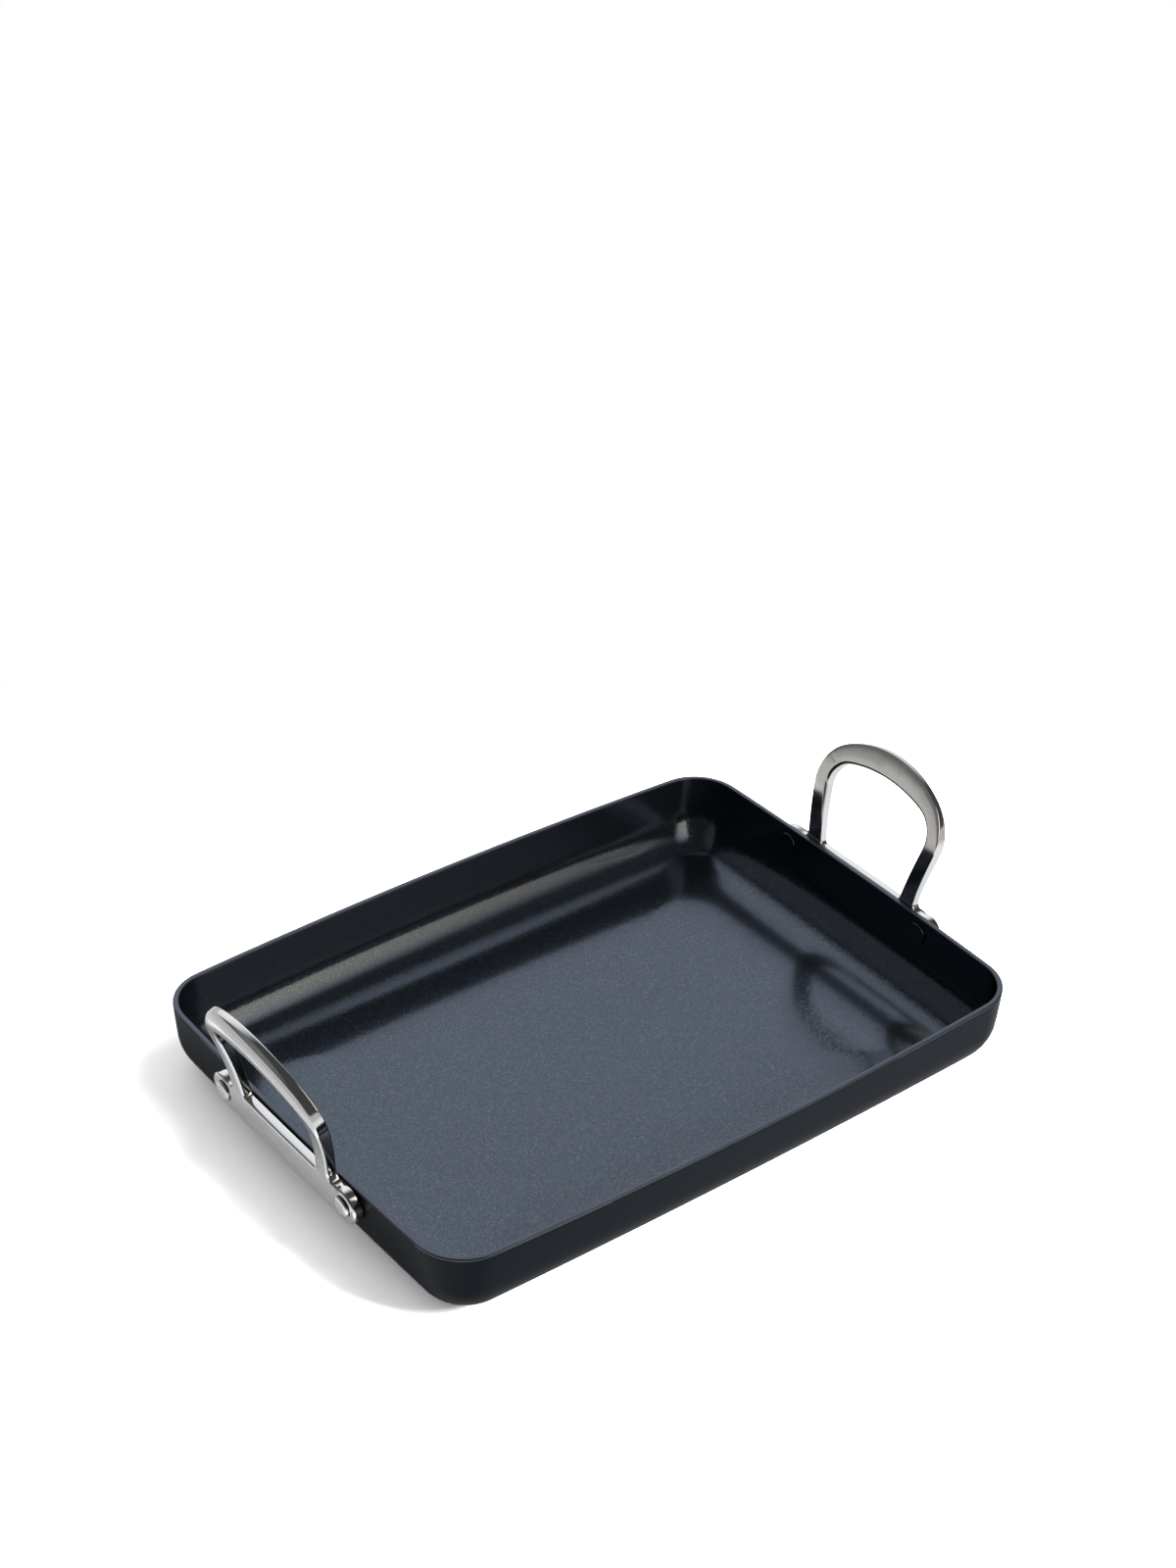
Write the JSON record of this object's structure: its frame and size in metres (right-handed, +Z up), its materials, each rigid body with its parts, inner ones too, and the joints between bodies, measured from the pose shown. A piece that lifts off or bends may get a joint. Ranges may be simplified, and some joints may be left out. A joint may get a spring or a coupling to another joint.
{
  "type": "rectangular roasting pan",
  "caption": "Rectangular roasting pan: a deep tray with drafted walls, rounded corners and a flat floor, and an upright riveted loop handle on each short side",
  "frame": {"origin": "middle of the flat base, on the surface that the pan stands on", "axes": "+X along the pan to the right handle, +Y across the pan to its back long side, +Z up"},
  "size_m": [0.4086, 0.2624, 0.1095],
  "materials": {
    "anodised_aluminium": "dark slate anodised and coated, satin, with a fine sparkle inside",
    "brushed_steel": "cast stainless steel, polished to a soft mirror",
    "rivet_steel": "stainless steel, satin"
  },
  "bodies": {
    "root": {"pan_body": "anodised_aluminium", "left_handle": "brushed_steel", "right_handle": "brushed_steel", "left_handle_back_rivet": "rivet_steel", "left_handle_front_rivet": "rivet_steel", "right_handle_back_rivet": "rivet_steel", "right_handle_front_rivet": "rivet_steel"}
  },
  "joints": []
}
